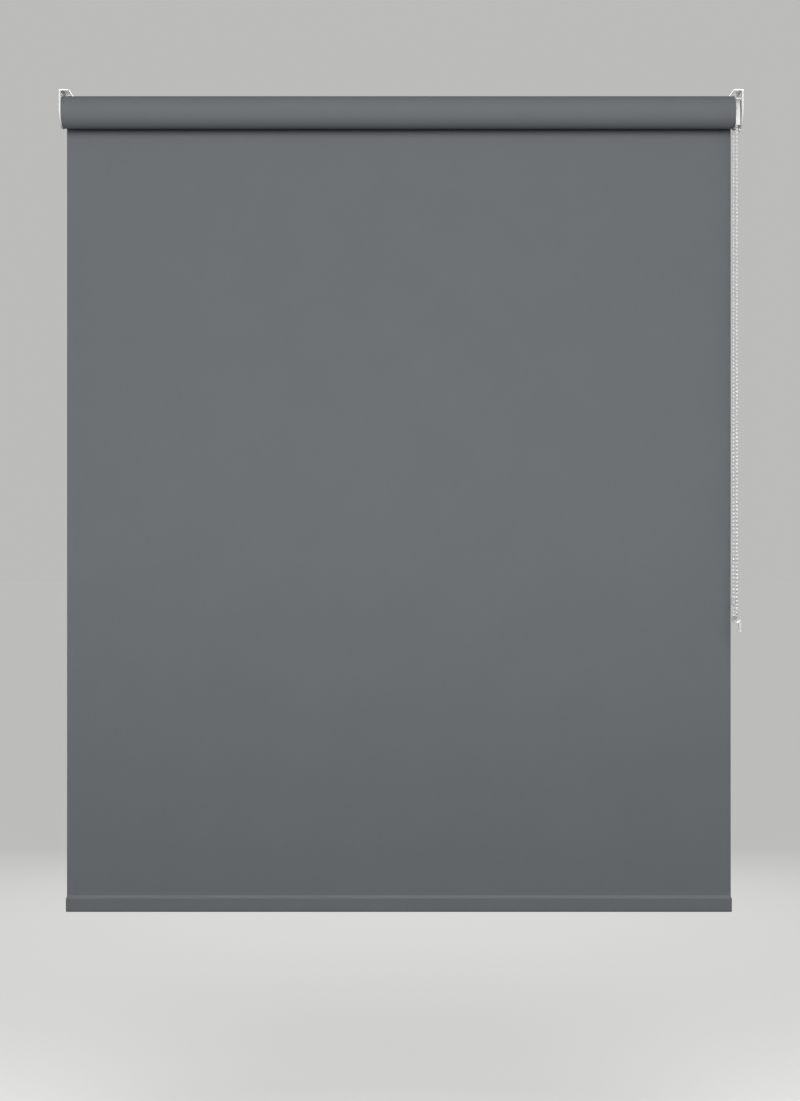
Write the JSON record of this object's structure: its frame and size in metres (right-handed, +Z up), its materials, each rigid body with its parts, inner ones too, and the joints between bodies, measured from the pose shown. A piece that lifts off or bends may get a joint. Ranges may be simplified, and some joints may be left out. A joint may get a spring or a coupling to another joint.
{
  "type": "roller blind",
  "caption": "Recess-mounted roller blind with grey fabric, a bead-chain clutch drive, a sprung idle pin, end brackets and a weighted hem bar, fully lowered.",
  "frame": {"origin": "middle of the fabric's width, over the tube's axis, on the plane of the two brackets' top faces", "axes": "+X to the right seen from the room, +Y from the room towards the window, +Z up"},
  "size_m": [1.0762, 0.0557, 1.3016],
  "materials": {
    "slate_fabric": "matt fine-weave blackout fabric",
    "white_plastic": "satin moulded white",
    "clear_plastic": "clear moulded plastic",
    "slate_plastic": "moulded dark grey, matched to the fabric",
    "grey_plastic": "moulded mid grey",
    "aluminium": "mill-finish extrusion",
    "bracket_steel": "zinc-plated sheet",
    "spring_steel": "drawn spring wire",
    "adhesive_tape": "double-sided tape"
  },
  "bodies": {
    "root": {"left_bracket_plate": "bracket_steel", "left_bracket_cover": "white_plastic", "left_pin_bush": "grey_plastic", "right_bracket_plate": "bracket_steel", "right_bracket_cover": "white_plastic", "control_spindle": "grey_plastic", "spindle_clip": "spring_steel", "chain_guard": "white_plastic", "chain_over_sprocket": "white_plastic", "chain_loop": "white_plastic", "fabric_drop": "slate_fabric", "chain_safety_clip": "clear_plastic"},
    "tube": {"roller_tube": "aluminium", "fabric_roll": "slate_fabric", "fabric_tape": "adhesive_tape", "tube_driver": "grey_plastic", "idle_plug": "grey_plastic", "idle_spring_cap": "grey_plastic", "idle_pin_spring": "spring_steel", "wrap_spring_a": "spring_steel", "wrap_spring_b": "spring_steel"},
    "sprocket": {"chain_sprocket": "white_plastic"},
    "idle_pin": {"idle_pin": "white_plastic"},
    "bottom_bar": {"bottom_bar": "aluminium", "bar_end_cap_left": "slate_plastic", "bar_end_cap_right": "slate_plastic", "hem_pocket": "slate_fabric"},
    "chain_joiner": {"chain_joiner_half_a": "clear_plastic", "chain_joiner_half_b": "clear_plastic"},
    "bracket_lock": {"bracket_lock": "white_plastic"}
  },
  "joints": [
    {"name": "tube_spin", "type": "hinge", "parent": "root", "child": "tube", "pos_m": [0, 0, -0.031], "axis": [1, 0, 0], "range_deg": [0, 2520]},
    {"name": "sprocket_spin", "type": "hinge", "parent": "root", "child": "sprocket", "pos_m": [0.5327, 0, -0.031], "axis": [1, 0, 0], "range_deg": [0, 2520], "deforming": ["chain_over_sprocket"]},
    {"name": "bottom_bar_lift", "type": "slide", "parent": "root", "child": "bottom_bar", "axis": [0, 0, 1], "range_m": [0, 1.2], "deforming": ["fabric_drop"]},
    {"name": "chain_joiner_rise", "type": "slide", "parent": "root", "child": "chain_joiner", "axis": [0, 0, 1], "range_m": [0, 0.672]},
    {"name": "idle_pin_plunge", "type": "slide", "parent": "tube", "child": "idle_pin", "axis": [1, 0, 0], "range_m": [0, 0.005], "stiffness_N_per_m": 400, "springref_m": -0.005, "deforming": ["idle_pin_spring"]},
    {"name": "bracket_lock_slide", "type": "slide", "parent": "root", "child": "bracket_lock", "axis": [0, 0, -1], "range_m": [0, 0.004]}
  ],
  "couplings": [
    {"joint": "sprocket_spin", "follows": "tube_spin", "ratio": 1},
    {"joint": "bottom_bar_lift", "follows": "tube_spin", "m_per_rad": 0.02728},
    {"joint": "chain_joiner_rise", "follows": "tube_spin", "m_per_rad": 0.015278}
  ]
}
